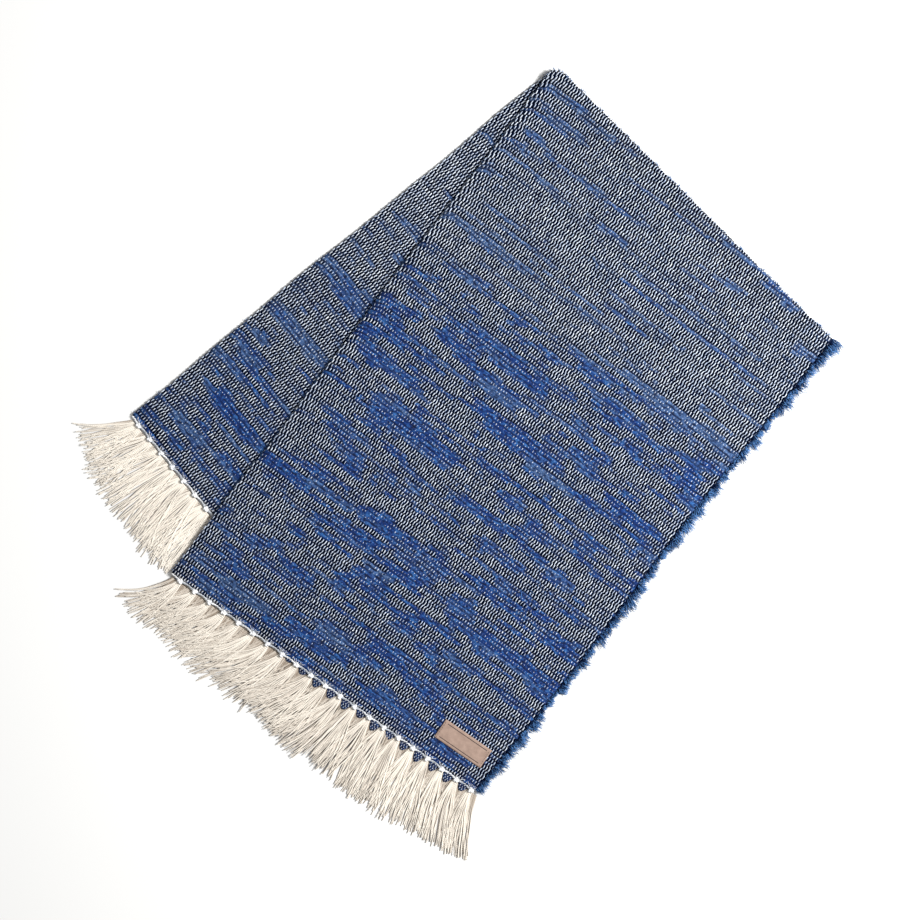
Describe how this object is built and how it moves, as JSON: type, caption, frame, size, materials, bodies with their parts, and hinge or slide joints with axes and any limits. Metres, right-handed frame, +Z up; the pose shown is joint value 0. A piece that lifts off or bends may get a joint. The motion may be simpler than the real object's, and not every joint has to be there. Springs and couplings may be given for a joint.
{
  "type": "folded hand-woven cotton rug",
  "caption": "Hand-woven blue, white and black cotton rug lying folded once, with knotted cream fringes at both ends, a shaggy cut long edge and a small sewn label.",
  "frame": {"origin": "middle of the footprint's box, on the floor under the lower layer", "axes": "+Z up; +Y along the upper layer's warp from its fringe to the fold; +X along its weft from the neat edge to the edge with the cut ends"},
  "size_m": [0.8994, 1.1024, 0.016],
  "materials": {
    "rag_weave": "matt blue cotton rag weft with white and black cotton warp",
    "fringe_cotton": "matt cream twisted cotton",
    "label_tape": "matt taupe woven tape"
  },
  "bodies": {
    "root": {"rug_cloth": "rag_weave", "fringe_upper": "fringe_cotton", "fringe_lower": "fringe_cotton", "label": "label_tape"}
  },
  "joints": []
}
